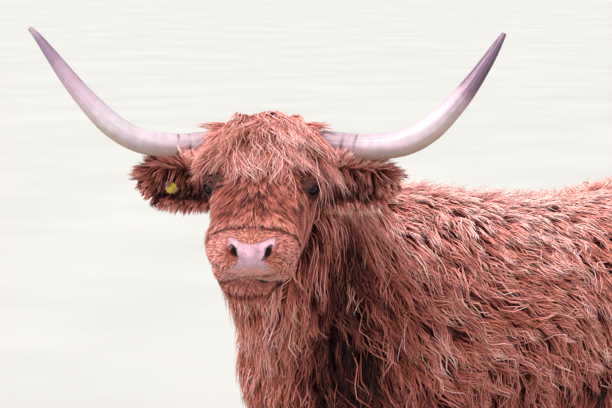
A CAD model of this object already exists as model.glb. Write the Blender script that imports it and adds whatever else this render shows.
"""Looks of a still highland cow: skin, coat, horns, hooves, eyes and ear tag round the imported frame.

The body's forms are worked out in the cow's own frame, with x = 0 at mid trunk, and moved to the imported
frame when a piece is made. Metres, +Z up, the cow faces +X and its left side is +Y.
"""
import math

import bmesh
import bpy
import numpy as np
from mathutils import Euler, Matrix, Vector, noise
from mathutils.bvhtree import BVHTree
from mathutils.kdtree import KDTree


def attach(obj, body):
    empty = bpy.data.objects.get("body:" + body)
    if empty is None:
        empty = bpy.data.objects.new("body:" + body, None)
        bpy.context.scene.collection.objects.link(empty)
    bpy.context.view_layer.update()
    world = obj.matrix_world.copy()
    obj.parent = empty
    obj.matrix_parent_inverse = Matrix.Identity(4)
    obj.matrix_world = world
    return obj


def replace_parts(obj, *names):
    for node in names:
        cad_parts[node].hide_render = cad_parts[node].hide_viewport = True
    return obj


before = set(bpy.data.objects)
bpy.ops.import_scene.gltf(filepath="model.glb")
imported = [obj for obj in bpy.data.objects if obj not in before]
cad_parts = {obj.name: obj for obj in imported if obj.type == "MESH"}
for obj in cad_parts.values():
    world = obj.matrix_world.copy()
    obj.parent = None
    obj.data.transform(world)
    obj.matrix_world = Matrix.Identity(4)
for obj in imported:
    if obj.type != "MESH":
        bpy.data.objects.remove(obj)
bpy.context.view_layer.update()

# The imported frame's origin, in the cow's frame
FOOT_CENTRE = Vector((0.1753, 0.0850, 0.0))
DOWN = Vector((0, 0, -1))
SIDES = ("left", "right")
SEED = 4
# How finely the skins are remeshed
BODY_VOXEL, HEAD_VOXEL, EAR_VOXEL = 0.0085, 0.0034, 0.0022

# Trunk
WITHERS_X, WITHERS_Z = 0.36, 1.045
LOIN_Z, HIP_Z = 0.985, 1.008
CHEST_X, RUMP_X = 0.66, -0.72
GIRTH_BOTTOM, BELLY_BOTTOM = 0.46, 0.44
CHEST_HALF, BARREL_HALF, HIP_HALF = 0.215, 0.285, 0.245

# Neck and head
POLL = Vector((0.82, 0.127, 1.215))
HEAD_YAW, HEAD_PITCH = math.radians(46.7), math.radians(20)
HEAD_LIFT = 0.022
MUZZLE_HALF, ORBIT_HALF = 0.096, 0.112
EYE_RADIUS, EYE_AT, EYE_TURN = 0.0205, Vector((0.182, 0.1010, -0.043)), math.radians(62)
LID_THICKNESS, LID_HALF_LENGTH, LID_HALF_HEIGHT = 0.006, 0.0175, 0.0112
# The lids' opening lies a little above the gaze and is cut between two depths
LID_LIFT, LID_DEPTHS = 0.002, (0.004, 0.060)
GAZE_TURN, EYEBALL_TURN, IRIS_RADIUS = math.radians(48), math.radians(48) - 0.25, 0.0175
NOSTRIL_AT, NOSTRIL_HALF = Vector((0.475, 0.0330, -0.047)), (0.018, 0.0062, 0.0210)
NOSTRIL_TILT, NOSTRIL_TURN = math.radians(48), math.radians(38)
BROW_AT, BROW_HALF = Vector((0.160, 0.085, -0.026)), (0.040, 0.018, 0.014)
LEFT_LIP = ((0.375, 0.082, -0.138), (0.415, 0.082, -0.143), (0.450, 0.068, -0.136), (0.473, 0.040, -0.117))
LIP_MIDDLE, LIP_DEPTH, LIP_GAP = (0.482, 0.0, -0.103), 0.013, 0.0030
# How far the front of the mouth and the chin stand to the right
MOUTH_SHIFT = 0.014

# Horns: lateral reach, rise and forward sweep of each point of the axis, and its radius
HORN_AXIS = (
    (0.060, 0.000, -0.010, 0.0270),
    (0.130, 0.000, -0.004, 0.0268),
    (0.220, -0.006, 0.012, 0.0272),
    (0.300, 0.004, 0.032, 0.0285),
    (0.360, 0.036, 0.048, 0.0272),
    (0.410, 0.085, 0.056, 0.0238),
    (0.452, 0.137, 0.056, 0.0190),
    (0.486, 0.187, 0.050, 0.0140),
    (0.510, 0.226, 0.043, 0.0088),
    (0.522, 0.246, 0.038, 0.0050),
)
HORN_SWELL = {"left": 1.04, "right": 0.94}
HORN_LEAN = {"left": 0.0, "right": 0.024}
HORN_GROOVES, GROOVE_WIDTH = {"left": (0.162, 0.197), "right": (0.180, 0.214)}, 0.0035

# Ears and tag
EAR_ROOT, EAR_LENGTH, EAR_HALF = Vector((-0.012, 0.098, -0.083)), 0.190, 0.050
EAR_CUP, EAR_WALL, EAR_STALK = 0.030, 0.007, 0.030
TAG_RADIUS, TAG_THICKNESS, TAG_PIN = 0.0135, 0.0028, 0.0028
TAG_SIDE, TAG_AT, TAG_FRONT, TAG_BACK = "right", (0.118, -0.013), 0.0105, -0.0098

# Legs
FRONT_X, HIND_X = 0.36, -0.565
HOOF_HEIGHT = 0.066
CLAW_HALF_LENGTH, CLAW_HALF_WIDTH, CLEFT = 0.058, 0.0265, 0.006
LEGS = ("front_left", "front_right", "hind_left", "hind_right")

# Each row: x, top, widest height, bottom, half width
TRUNK = (
    (CHEST_X + 0.030, 0.780, 0.690, 0.590, 0.080),
    (CHEST_X - 0.020, 0.880, 0.690, 0.510, 0.145),
    (CHEST_X - 0.120, 0.985, 0.700, 0.460, 0.195),
    (WITHERS_X, WITHERS_Z, 0.740, GIRTH_BOTTOM, CHEST_HALF),
    (WITHERS_X - 0.18, WITHERS_Z - 0.018, 0.735, GIRTH_BOTTOM - 0.012, 0.255),
    (0.0, LOIN_Z + 0.004, 0.720, BELLY_BOTTOM, BARREL_HALF),
    (-0.20, LOIN_Z, 0.715, BELLY_BOTTOM, BARREL_HALF + 0.008),
    (-0.37, LOIN_Z + 0.008, 0.740, BELLY_BOTTOM + 0.035, BARREL_HALF - 0.012),
    (-0.50, HIP_Z, 0.790, BELLY_BOTTOM + 0.100, HIP_HALF),
    (-0.62, HIP_Z - 0.020, 0.800, 0.600, HIP_HALF - 0.035),
    (RUMP_X + 0.030, 0.975, 0.810, 0.655, 0.155),
    (RUMP_X, 0.920, 0.810, 0.715, 0.080),
)
# Each row: x, y, z on the neck's axis, half depth, half width
NECK = (
    (0.350, 0.000, 0.780, 0.265, 0.150),
    (0.505, 0.002, 0.850, 0.245, 0.135),
    (0.630, 0.022, 0.925, 0.215, 0.120),
    (0.725, 0.066, 1.005, 0.175, 0.110),
    (0.800, 0.128, 1.070, 0.120, 0.098),
)
# Each row: x, top, widest height, bottom, half width; in the head's frame
SKULL = (
    (-0.075, -0.055, -0.085, -0.125, 0.045),
    (-0.045, -0.004, -0.080, -0.165, 0.084),
    (0.000, 0.018, -0.080, -0.190, 0.100),
    (0.060, 0.018, -0.075, -0.205, 0.104),
    (0.120, 0.011, -0.068, -0.205, 0.108),
    (0.175, 0.004, -0.060, -0.190, ORBIT_HALF - 0.002),
    (0.230, 0.002, -0.062, -0.162, 0.102),
    (0.290, 0.000, -0.060, -0.134, 0.094),
    (0.350, -0.004, -0.058, -0.112, 0.090),
    (0.400, -0.010, -0.060, -0.106, MUZZLE_HALF),
    (0.440, -0.020, -0.064, -0.106, MUZZLE_HALF),
    (0.472, -0.036, -0.066, -0.102, 0.077),
    (0.486, -0.050, -0.070, -0.092, 0.050),
)
JAW = (
    (0.000, -0.130, -0.165, -0.205, 0.060),
    (0.060, -0.120, -0.175, -0.232, 0.086),
    (0.140, -0.110, -0.175, -0.230, 0.084),
    (0.230, -0.095, -0.150, -0.204, 0.066),
    (0.310, -0.088, -0.134, -0.188, 0.063),
    (0.380, -0.086, -0.124, -0.176, 0.068),
    (0.430, -0.088, -0.122, -0.170, 0.070),
    (0.460, -0.092, -0.122, -0.157, 0.056),
    (0.472, -0.098, -0.121, -0.142, 0.034),
)
# Each row: x offset forward, y, z, half length, half width
FRONT_LEG = (
    (-0.010, 0.150, 0.800, 0.150, 0.075),
    (-0.005, 0.172, 0.680, 0.125, 0.080),
    (-0.015, 0.178, 0.570, 0.090, 0.070),
    (-0.005, 0.172, 0.470, 0.066, 0.056),
    (0.005, 0.168, 0.385, 0.052, 0.047),
    (0.015, 0.166, 0.315, 0.047, 0.044),
    (0.010, 0.165, 0.240, 0.034, 0.033),
    (0.008, 0.165, 0.165, 0.033, 0.033),
    (0.010, 0.165, 0.120, 0.042, 0.042),
    (0.022, 0.165, 0.085, 0.043, 0.045),
    (0.030, 0.165, 0.058, 0.046, 0.049),
)
HIND_LEG = (
    (0.060, 0.120, 0.900, 0.130, 0.075),
    (0.065, 0.150, 0.800, 0.165, 0.090),
    (0.080, 0.168, 0.690, 0.155, 0.088),
    (0.055, 0.174, 0.590, 0.115, 0.072),
    (-0.010, 0.170, 0.500, 0.078, 0.054),
    (-0.055, 0.166, 0.425, 0.058, 0.040),
    (-0.055, 0.165, 0.340, 0.042, 0.035),
    (-0.040, 0.165, 0.240, 0.035, 0.033),
    (-0.025, 0.165, 0.165, 0.035, 0.034),
    (-0.015, 0.165, 0.120, 0.043, 0.043),
    (0.000, 0.165, 0.085, 0.044, 0.046),
    (0.012, 0.165, 0.058, 0.047, 0.050),
)
# Heights on a leg, and how thick its coat is there
LEG_COAT = (
    (0.058, 0.085, 0.120, 0.165, 0.240, 0.315, 0.385, 0.470),
    (0.006, 0.010, 0.016, 0.020, 0.018, 0.020, 0.028, 0.035),
)
# How far each leg stands ahead of its pair's place
STEP = {"front_left": 0.025, "front_right": -0.030, "hind_left": -0.035, "hind_right": 0.040}
# Each row: x, y, z, radius
TAIL = (
    (-0.650, 0.000, 0.980, 0.034),
    (-0.722, 0.000, 0.965, 0.032),
    (-0.778, 0.000, 0.910, 0.027),
    (-0.802, 0.000, 0.820, 0.023),
    (-0.810, 0.000, 0.700, 0.020),
    (-0.810, 0.000, 0.580, 0.020),
    (-0.806, 0.000, 0.450, 0.017),
    (-0.802, 0.000, 0.350, 0.010),
)


# Geometry helpers


def spline(rows, t):
    """Catmull-Rom through rows of numbers, t from 0 at the first row to 1 at the last."""
    place = min(max(t, 0.0), 1.0) * (len(rows) - 1)
    i = min(int(place), len(rows) - 2)
    u = place - i
    before, a, b, after = (rows[min(max(i + k, 0), len(rows) - 1)] for k in (-1, 0, 1, 2))
    return [
        0.5 * (2 * q + (r - p) * u + (2 * p - 5 * q + 4 * r - s) * u**2 + (3 * q - p - 3 * r + s) * u**3)
        for p, q, r, s in zip(before, a, b, after)
    ]


def heading(rows, t, step=0.02):
    """The way an axis runs at t, where its rows start with a place."""
    return Vector(spline(rows, t + step)[:3]) - Vector(spline(rows, t - step)[:3])


def bent(value, power):
    """A number's size raised to a power, with its sign kept."""
    return math.copysign(abs(value) ** power, value)


def oval(around, squareness=0.9):
    """(side, height) of points round a unit superellipse, anticlockwise from +side."""
    turns = [math.tau * k / around for k in range(around)]
    return [(bent(math.cos(a), squareness), bent(math.sin(a), squareness)) for a in turns]


def between(bottom, mid, top, height):
    """The z of a height in a section: -1 at its bottom, 0 where it is widest, 1 at its top."""
    return mid + ((top - mid) if height > 0 else (mid - bottom)) * height


def smoothstep(low, high, value):
    t = min(max((value - low) / (high - low), 0.0), 1.0)
    return t * t * (3 - 2 * t)


def bell(distance, width):
    """1 in the middle, falling smoothly to about a third at the width."""
    return math.exp(-((distance / width) ** 2))


def spot(point, place, width):
    return bell((point - Vector(place)).length, width)


def turned(x, y, z):
    """A rotation by three angles."""
    return Euler((x, y, z)).to_matrix().to_4x4()


def mirrored(at, s):
    """A place on the left, or its mirror on the right where s is -1."""
    return Vector((at.x, s * at.y, at.z))


def side_of(name):
    return 1 if name == "left" else -1


def object_from(name, bm):
    mesh = bpy.data.meshes.new(name)
    bm.to_mesh(mesh)
    bm.free()
    obj = bpy.data.objects.new(name, mesh)
    bpy.context.scene.collection.objects.link(obj)
    return obj


def loft(name, rings, poke_first=False, poke_last=False):
    """A closed body through rings of points."""
    bm = bmesh.new()
    rows = [[bm.verts.new(p) for p in ring] for ring in rings]
    for lower, upper in zip(rows, rows[1:]):
        for k in range(len(lower)):
            n = (k + 1) % len(lower)
            bm.faces.new((lower[k], lower[n], upper[n], upper[k]))
    for ring, pointed in ((rows[0], poke_first), (rows[-1], poke_last)):
        face = bm.faces.new(ring)
        if pointed:
            bmesh.ops.poke(bm, faces=[face])
    bmesh.ops.recalc_face_normals(bm, faces=bm.faces[:])
    return object_from(name, bm)


def settle(obj):
    """Applies the object's modifiers and its matrix to its mesh."""
    bpy.context.view_layer.update()
    graph = bpy.context.evaluated_depsgraph_get()
    mesh = bpy.data.meshes.new_from_object(obj.evaluated_get(graph))
    mesh.transform(obj.matrix_world)
    if obj.matrix_world.determinant() < 0:
        mesh.flip_normals()
    old = obj.data
    obj.modifiers.clear()
    obj.data = mesh
    obj.matrix_world = Matrix.Identity(4)
    bpy.data.meshes.remove(old)
    return obj


def discard(obj):
    data = obj.data
    bpy.data.objects.remove(obj)
    bpy.data.meshes.remove(data)


def cut(target, other):
    """Takes one closed body away from another."""
    modifier = target.modifiers.new("cut", "BOOLEAN")
    modifier.operation, modifier.solver, modifier.object = "DIFFERENCE", "MANIFOLD", other
    settle(target)
    discard(other)


def ball(name, radius, matrix, segments, rings, scale=(1, 1, 1)):
    """An ellipsoid of level rings with a point at each pole, always in the same order."""
    rows = []
    for j in range(1, rings):
        reach, level = radius * math.sin(math.pi * j / rings), radius * math.cos(math.pi * j / rings)
        rows.append([(reach * c, reach * s, level) for c, s in oval(segments, 1.0)])
    obj = loft(name, rows, True, True)
    for pole, level in ((-2, radius), (-1, -radius)):
        obj.data.vertices[pole].co = (0, 0, level)
    obj.matrix_world = matrix @ Matrix.Diagonal((*scale, 1))
    return settle(obj)


def merged(name, pieces, voxel, rounds):
    """One skin round closed bodies that overlap, remeshed and smoothed."""
    bm = bmesh.new()
    for piece in pieces:
        bm.from_mesh(piece.data)
        discard(piece)
    obj = object_from(name, bm)
    remesh = obj.modifiers.new("remesh", "REMESH")
    remesh.mode, remesh.voxel_size = "VOXEL", voxel
    smooth = obj.modifiers.new("smooth", "SMOOTH")
    smooth.factor, smooth.iterations = 0.5, rounds
    return settle(obj)


# Body forms


def head_frame():
    """From the head's own axes, X to the nose, Y left and Z up off the forehead, to the cow's."""
    return Matrix.Translation(POLL) @ turned(0, HEAD_PITCH, HEAD_YAW) @ Matrix.Translation((0, 0, HEAD_LIFT))


def horn_frame():
    """As the head's frame, but level: the horns are set out from the horizon."""
    return Matrix.Translation(POLL) @ turned(0, 0, HEAD_YAW)


HEAD = head_frame()
HEAD_BACK = HEAD.inverted()


def in_head(point, normal):
    """A place and a direction in the head's frame."""
    return HEAD_BACK @ point, HEAD_BACK.to_3x3() @ normal


def trunk_form(around, along):
    rings = []
    for i in range(along + 1):
        x, top, mid, bottom, half = spline(TRUNK, i / along)
        rings.append([(x, half * s, between(bottom, mid, top, h)) for s, h in oval(around)])
    return loft("trunk", rings)


def neck_form(around, along):
    rings = []
    for i in range(along + 1):
        t = i / along
        x, y, z, deep, wide = spline(NECK, t)
        ahead = heading(NECK, t)
        side = Vector((-ahead.y, ahead.x, 0)).normalized()
        up = ahead.cross(side).normalized()
        rings.append([Vector((x, y, z)) + side * wide * s + up * deep * h for s, h in oval(around, 1.0)])
    return loft("neck", rings)


def head_loft(name, rows, around, along, squareness):
    rings, section = [], oval(around, squareness)
    for i in range(along + 1):
        x, top, mid, bottom, half = spline(rows, i / along)
        rings.append([HEAD @ Vector((x, half * s, between(bottom, mid, top, h))) for s, h in section])
    return loft(name, rings, True, True)


def leg_rows(which):
    """The leg's rows in the cow's frame: the step grows from nothing at the top to all at the foot."""
    rows, base = (FRONT_LEG, FRONT_X) if "front" in which else (HIND_LEG, HIND_X)
    side = 1 if "left" in which else -1
    top = rows[0][2]
    return [
        (base + dx + STEP[which] * (top - z) / top, side * y, z, long, wide) for dx, y, z, long, wide in rows
    ]


def leg_form(which, around, along):
    rows = leg_rows(which)
    rings = []
    for i in range(along + 1):
        x, y, z, long, wide = spline(rows, i / along)
        rings.append([(x + long * c, y + wide * s, z) for c, s in oval(around, 1.0)])
    return loft("leg", rings)


def tail_form(around, along):
    rings, left = [], Vector((0, 1, 0))
    for i in range(along + 1):
        t = i / along
        x, y, z, radius = spline(TAIL, t)
        up = heading(TAIL, t).cross(left).normalized()
        rings.append([Vector((x, y, z)) + (left * s + up * h) * radius for s, h in oval(around, 1.0)])
    return loft("tail", rings)


def eye_matrix(side, turn=EYE_TURN):
    """An eye's place, its X axis out to the side; the gaze and the lids turn further to the front."""
    s = side_of(side)
    return HEAD @ Matrix.Translation(mirrored(EYE_AT, s)) @ turned(0, 0, s * turn)


def eyelid_opening(side):
    """The almond between the lids, as a plug that reaches out of the head."""
    rings = []
    for depth in LID_DEPTHS:
        ring = []
        for across, rise in oval(40, 1.0):
            rise = bent(rise, 1.5) * LID_HALF_HEIGHT + LID_LIFT
            ring.append(eye_matrix(side, GAZE_TURN) @ Vector((depth, across * LID_HALF_LENGTH, rise)))
        rings.append(ring)
    return loft("eyelid_opening", rings)


def nostril(side):
    """A slit that runs from the outer top of the nose pad down and in, sunk into the muzzle."""
    s = side_of(side)
    turn = turned(-s * NOSTRIL_TILT, 0, s * NOSTRIL_TURN)
    place = HEAD @ Matrix.Translation(mirrored(NOSTRIL_AT, s)) @ turn
    return ball("nostril", 1.0, place, 24, 16, NOSTRIL_HALF)


def lip_path():
    """The closed mouth from corner to corner."""
    line = [*LEFT_LIP, LIP_MIDDLE, *((x, -y, z) for x, y, z in reversed(LEFT_LIP))]
    return [(x, y - MOUTH_SHIFT * smoothstep(0.42, 0.47, x), z) for x, y, z in line]


LIP_PATH = lip_path()


def lip_line():
    """A thin wedge along the closed mouth: it rises to the middle of the lip and ends at two corners."""
    section = ((1.0, 0.9), (0.0, 0.7), (-1.0, 0.0), (0.0, -0.7), (1.0, -0.9))
    centre, along, rings = Vector((0.40, 0, 0)), 48, []
    for i in range(along + 1):
        at = Vector(spline(LIP_PATH, i / along))
        out = Vector((at.x - centre.x, at.y, 0)).normalized()
        ends = max(0.25, math.sin(math.pi * i / along) ** 0.5)
        wedge = [(out * LIP_DEPTH * c + Vector((0, 0, LIP_GAP * h))) * ends for c, h in section]
        rings.append([HEAD @ (at + corner) for corner in wedge])
    return loft("lip_line", rings)


def horn_rows(side):
    """The horn's axis; its lean bows it inward and lifts its tip."""
    lean, last = HORN_LEAN[side], len(HORN_AXIS) - 1
    return [
        (out - lean * math.sin(math.pi * i / last), rise + lean * 0.4 * i / last, sweep, radius)
        for i, (out, rise, sweep, radius) in enumerate(HORN_AXIS)
    ]


def groove(side, t):
    """How much a point of the horn lies in one of the two dark rings near its base."""
    return max(bell(t - at, GROOVE_WIDTH) for at in HORN_GROOVES[side])


def horn_form(side, around, along):
    """One horn: out from inside the head, up and a little forward, ringed near its base, blunt-tipped."""
    frame_h, s, swell, rows = horn_frame(), side_of(side), HORN_SWELL[side], horn_rows(side)
    rings = []
    for i in range(along + 1):
        t = i / along
        out, rise, sweep, radius = spline(rows, t)
        reach, lift, forward = heading(rows, t, 0.01)
        ahead = Vector((forward, s * reach, lift)).normalized()
        front = (Vector((1, 0, 0)) - ahead * ahead.x).normalized()
        up = ahead.cross(front)
        centre = Vector((sweep, s * out, rise))
        radius *= swell + (1 - swell) * t
        # Growth rings, deeper at the base, and a slow unevenness along the horn
        ridge = 0.016 * (1 - smoothstep(0.12, 0.42, t)) * math.sin(t * 170 + 1.3 * math.sin(t * 23))
        radius *= 1 + ridge + 0.012 * math.sin(t * 31 + s) - 0.045 * groove(side, t)
        ring = []
        for k, (c, h) in enumerate(oval(around, 1.0)):
            facet = 1 + 0.012 * math.sin(3 * math.tau * k / around + 4 * t)
            ring.append(frame_h @ (centre + (front * c + up * h) * radius * facet))
        rings.append(ring)
    return loft("horn_" + side, rings, False, True)


def ear_frame(side):
    """The ear's own axes: X out along it, Y up across it, Z out of its cup."""
    s = side_of(side)
    turn = horn_frame().to_3x3()
    out = turn @ Vector((-0.06, s, -0.03)).normalized()
    face = turn @ Vector((1.0, s * 0.10, -0.30))
    face = (face - out * face.dot(out)).normalized()
    matrix = Matrix((out, face.cross(out) * s, face)).transposed().to_4x4()
    matrix.translation = horn_frame() @ mirrored(EAR_ROOT, s)
    return matrix


def ear_form(side, across, along):
    """The ear's cup, a leaf whose edges curl forward, more at the root than at the tip, on its stalk."""
    bm = bmesh.new()
    grid, frame_e = [], ear_frame(side)
    for i in range(along + 1):
        t = i / along
        spread = 0.42 + 0.58 * math.sin(math.pi * (0.15 + t * 0.62))
        half = EAR_HALF * spread * math.sqrt(max(0.04, 1.04 - t**6))
        cup = EAR_CUP * (1.25 - t)
        us = [2 * k / across - 1 for k in range(across + 1)]
        row = [Vector((t * EAR_LENGTH, half * u, cup * u * u - 0.006)) for u in us]
        grid.append([bm.verts.new(frame_e @ point) for point in row])
    for low, high in zip(grid, grid[1:]):
        for k in range(across):
            bm.faces.new((low[k], low[k + 1], high[k + 1], high[k]))
    leaf = object_from("leaf", bm)
    shell = leaf.modifiers.new("wall", "SOLIDIFY")
    shell.thickness, shell.offset = EAR_WALL, 0
    settle(leaf)
    stalk = ball("stalk", EAR_STALK, frame_e @ Matrix.Translation((0.004, 0, 0)), 32, 20, (1.5, 0.9, 0.8))
    return merged("ear_skin_" + side, [leaf, stalk], EAR_VOXEL, 3)


# Materials


def rgb(r, g, b):
    """A linear colour from its sRGB numbers, 0 to 255."""
    return tuple(((v / 255 + 0.055) / 1.055) ** 2.4 if v > 10 else v / 3294.6 for v in (r, g, b)) + (1.0,)


class Look:
    """A material and short ways to add and join its nodes."""

    def __init__(self, name, **sockets):
        self.material = bpy.data.materials.new(name)
        self.material.use_nodes = True
        self.tree = self.material.node_tree
        self.shader = self.tree.nodes["Principled BSDF"]
        for socket, value in sockets.items():
            self.shader.inputs[socket.replace("_", " ").title().replace("Ior", "IOR")].default_value = value

    def node(self, kind, **settings):
        made = self.tree.nodes.new(kind)
        for key, value in settings.items():
            if key in made.inputs:
                made.inputs[key].default_value = value
            else:
                setattr(made, key, value)
        return made

    def join(self, out, into):
        self.tree.links.new(out, into)

    def attribute(self, name):
        return self.node("ShaderNodeAttribute", attribute_name=name).outputs["Fac"]

    def noise(self, scale, detail=3.0, roughness=0.55, distortion=0.0, stretch=None):
        settings = {"Scale": scale, "Detail": detail, "Roughness": roughness, "Distortion": distortion}
        made = self.node("ShaderNodeTexNoise", **settings)
        place = self.node("ShaderNodeTexCoord").outputs["Object"]
        if stretch:
            mapping = self.node("ShaderNodeMapping", Scale=stretch)
            self.join(place, mapping.inputs["Vector"])
            place = mapping.outputs["Vector"]
        self.join(place, made.inputs["Vector"])
        return made.outputs["Fac"]

    def ramp(self, value, *stops):
        made = self.node("ShaderNodeValToRGB")
        elements = made.color_ramp.elements
        while len(elements) < len(stops):
            elements.new(0.5)
        for element, (place, colour) in zip(elements, stops):
            element.position, element.color = place, colour
        self.join(value, made.inputs["Fac"])
        return made.outputs["Color"]

    def math(self, operation, a, b):
        made = self.node("ShaderNodeMath", operation=operation)
        for socket, value in zip(made.inputs, (a, b)):
            if isinstance(value, (int, float)):
                socket.default_value = value
            else:
                self.join(value, socket)
        return made.outputs[0]

    def total(self, *terms):
        """The sum of terms (output, factor, offset): each output less its offset, times its factor."""
        whole = None
        for value, factor, offset in terms:
            if offset:
                value = self.math("SUBTRACT", value, offset)
            if factor != 1:
                value = self.math("MULTIPLY", value, factor)
            whole = value if whole is None else self.math("ADD", whole, value)
        return whole

    def mix(self, factor, a, b, blend="MIX"):
        made = self.node("ShaderNodeMix", data_type="RGBA", blend_type=blend)
        for socket, value in zip((made.inputs[0], made.inputs[6], made.inputs[7]), (factor, a, b)):
            if isinstance(value, (int, float, tuple)):
                socket.default_value = value
            else:
                self.join(value, socket)
        return made.outputs[2]

    def colour(self, out):
        self.join(out, self.shader.inputs["Base Color"])

    def rough(self, value, low, high):
        made = self.node("ShaderNodeMapRange")
        made.inputs["To Min"].default_value, made.inputs["To Max"].default_value = low, high
        self.join(value, made.inputs["Value"])
        self.join(made.outputs["Result"], self.shader.inputs["Roughness"])

    def bump(self, height, distance, strength=1.0):
        made = self.node("ShaderNodeBump", Strength=strength, Distance=distance)
        self.join(height, made.inputs["Height"])
        self.join(made.outputs["Normal"], self.shader.inputs["Normal"])


BLACK, WHITE = (0, 0, 0, 1), (1, 1, 1, 1)
HAIR_DARK, HAIR_DEEP = rgb(46, 23, 25), rgb(116, 60, 52)
HAIR_MID, HAIR_LIGHT, HAIR_PALE = rgb(188, 104, 88), rgb(234, 158, 146), rgb(250, 208, 202)
# How strong the dark streak of each horn is
STREAK = {"left": 0.95, "right": 0.50}
# Places along each horn, and its colour there
HORN_TONES = {
    "left": (
        (0.12, (164, 138, 150)), (0.24, (190, 170, 180)), (0.48, (204, 188, 197)), (0.61, (190, 164, 180)),
        (0.69, (122, 90, 118)), (0.84, (104, 76, 104)), (0.97, (132, 98, 120)),
    ),
    "right": (
        (0.12, (168, 142, 150)), (0.24, (196, 178, 188)), (0.48, (214, 205, 214)), (0.62, (192, 166, 184)),
        (0.76, (146, 116, 142)), (0.90, (128, 104, 128)), (0.97, (158, 136, 152)),
    ),
}


def hair_look():
    """Coat colour: dark at the root, lighter to the tip, and different from lock to lock."""
    look = Look("coat", roughness=0.62, specular_ior_level=0.10)
    tip, tuft, tone = look.attribute("tip"), look.attribute("tuft"), look.attribute("tone")
    patch = look.noise(9.0, 2.0)
    value = look.total((tip, 0.52, 0), (tuft, 0.62, 0), (patch, 0.35, 0.6), (tone, 1, 0.59))
    stops = ((0.0, HAIR_DARK), (0.22, HAIR_DEEP), (0.48, HAIR_MID), (0.78, HAIR_LIGHT), (1.0, HAIR_PALE))
    look.colour(look.ramp(value, *stops))
    return look.material


def skin_look(name, fine):
    """Skin under the coat: short hair as fine streaks, and the nose pad, lips and lids by their masks."""
    look = Look(name, roughness=0.6, specular_ior_level=0.3)
    streak = look.noise(fine, 4.0, 0.6, 0.6)
    patch = look.noise(14.0, 3.0)
    value = look.total((streak, 0.5, 0), (patch, 0.25, 0), (look.attribute("tone"), 1, 0.62))
    hair = look.ramp(value, (0.0, HAIR_DARK), (0.35, HAIR_DEEP), (0.75, HAIR_MID), (1.0, HAIR_LIGHT))
    cells = look.node("ShaderNodeTexVoronoi", Scale=260.0, feature="DISTANCE_TO_EDGE")
    look.join(look.node("ShaderNodeTexCoord").outputs["Object"], cells.inputs["Vector"])
    pebble = look.math("MINIMUM", look.math("MULTIPLY", cells.outputs["Distance"], 9.0), 1.0)
    blotch = look.noise(38.0, 3.0)
    pad = look.ramp(blotch, (0.25, rgb(158, 112, 124)), (0.5, rgb(200, 160, 176)), (0.8, rgb(228, 198, 218)))
    pad = look.mix(look.math("MULTIPLY", look.attribute("low"), 0.85), pad, rgb(186, 150, 138))
    pad = look.mix(look.math("MULTIPLY", look.math("SUBTRACT", 1.0, pebble), 0.45), pad, rgb(124, 84, 90))
    colour = look.mix(look.attribute("pad"), hair, pad)
    colour = look.mix(look.attribute("dark"), colour, rgb(34, 17, 16))
    look.colour(colour)
    look.rough(look.attribute("pad"), 0.72, 0.36)
    look.bump(look.total((streak, 1, 0), (pebble, 0.35, 0)), 0.0016, 0.8)
    return look.material


def horn_look(side):
    """Horn: pinkish white at the base, beige under, mauve to the tip, with long fibres and a dark streak."""
    look = Look("horn_" + side, roughness=0.40, coat_weight=0.08, coat_roughness=0.30)
    along, under, fibre = (look.attribute(name) for name in ("along", "under", "fibre"))
    stain, grain = look.noise(16.0, 4.0, 0.6), look.noise(55.0, 4.0, 0.6)
    place = look.total((along, 1, 0), (stain, 0.22, 0.5))
    base = look.ramp(place, *((at, rgb(*colour)) for at, colour in HORN_TONES[side]))
    beige = look.mix(look.math("MULTIPLY", under, 0.9), base, rgb(222, 192, 140), "MULTIPLY")
    mottled = look.mix(look.total((grain, 0.7, 0.35)), beige, rgb(138, 106, 112))
    streak = look.math("MULTIPLY", look.attribute("streak"), look.math("ADD", stain, 0.35))
    streaked = look.mix(streak, mottled, rgb(46, 30, 48))
    look.colour(look.mix(look.attribute("ring"), streaked, rgb(70, 52, 56)))
    look.rough(grain, 0.34, 0.6)
    look.bump(look.total((fibre, 1, 0), (grain, 0.6, 0)), 0.0011, 0.7)
    return look.material


def hoof_look():
    look = Look("hoof", roughness=0.5)
    layers = look.noise(6.0, 4.0, 0.6, 0.4, (1.0, 1.0, 14.0))
    grit = look.noise(120.0, 4.0, 0.65)
    stops = (0.2, rgb(38, 30, 27)), (0.55, rgb(74, 60, 52)), (0.85, rgb(118, 100, 84))
    look.colour(look.ramp(layers, *stops))
    look.rough(grit, 0.4, 0.75)
    look.bump(look.total((layers, 1, 0), (grit, 0.4, 0)), 0.0012, 0.9)
    return look.material


def eye_look():
    """A nearly black pupil in a dark brown iris that fills the lids, wet and shiny."""
    look = Look("eye", roughness=0.12, specular_ior_level=0.20)
    iris = look.attribute("iris")
    fibres = look.noise(220.0, 3.0)
    brown = look.ramp(fibres, (0.3, rgb(26, 13, 9)), (0.7, rgb(58, 30, 19)))
    pupil = look.ramp(iris, (0.34, BLACK), (0.42, WHITE))
    colour = look.mix(pupil, rgb(5, 3, 4), brown)
    edge = look.ramp(iris, (0.78, BLACK), (0.90, WHITE))
    look.colour(look.mix(edge, colour, rgb(40, 24, 22)))
    return look.material


def tag_look():
    look = Look("tag", roughness=0.42, coat_weight=0.1)
    dirt = look.noise(90.0, 5.0, 0.65)
    stops = (0.25, rgb(150, 126, 34)), (0.5, rgb(222, 202, 52)), (0.8, rgb(240, 224, 80))
    look.colour(look.ramp(dirt, *stops))
    look.rough(dirt, 0.3, 0.6)
    look.bump(dirt, 0.0003, 0.5)
    return look.material


# Skin


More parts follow.
